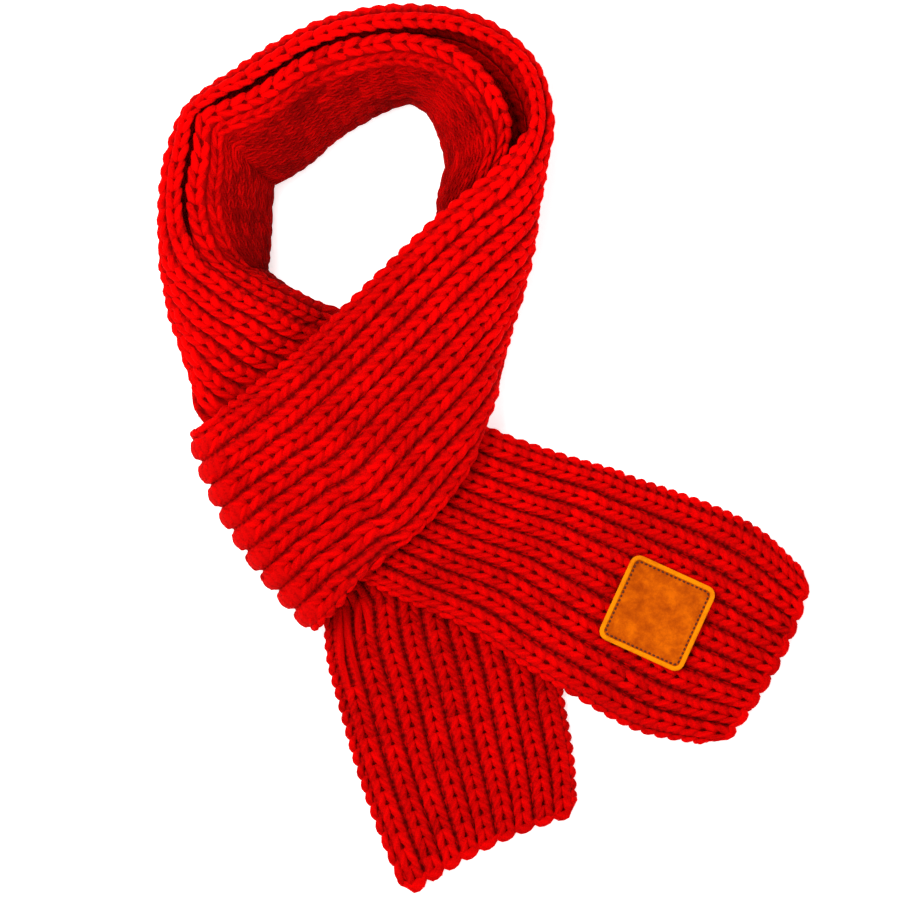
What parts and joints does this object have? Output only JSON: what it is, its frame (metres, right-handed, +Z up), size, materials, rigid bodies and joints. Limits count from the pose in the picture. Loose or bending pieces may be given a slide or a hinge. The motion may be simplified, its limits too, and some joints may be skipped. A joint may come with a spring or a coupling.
{
  "type": "knit scarf",
  "caption": "Chunky rib-knit scarf for a child, laid flat as if wound round a neck: standing loop, front wrap, two tails and a sewn label.",
  "frame": {"origin": "on the surface the scarf lies on, under the middle of its outline", "axes": "+Z up from the surface; +Y from the lower tail towards the back of the neck loop; +X towards the tail with the label"},
  "size_m": [0.3234, 0.44, 0.0449],
  "materials": {
    "red_yarn": "matt knitted yarn",
    "tan_leather": "mottled tan leather, satin"
  },
  "bodies": {
    "root": {"neck_outer": "red_yarn", "neck_inner": "red_yarn", "front_wrap": "red_yarn", "right_tail": "red_yarn", "lower_tail": "red_yarn", "label_patch": "tan_leather"}
  },
  "joints": []
}
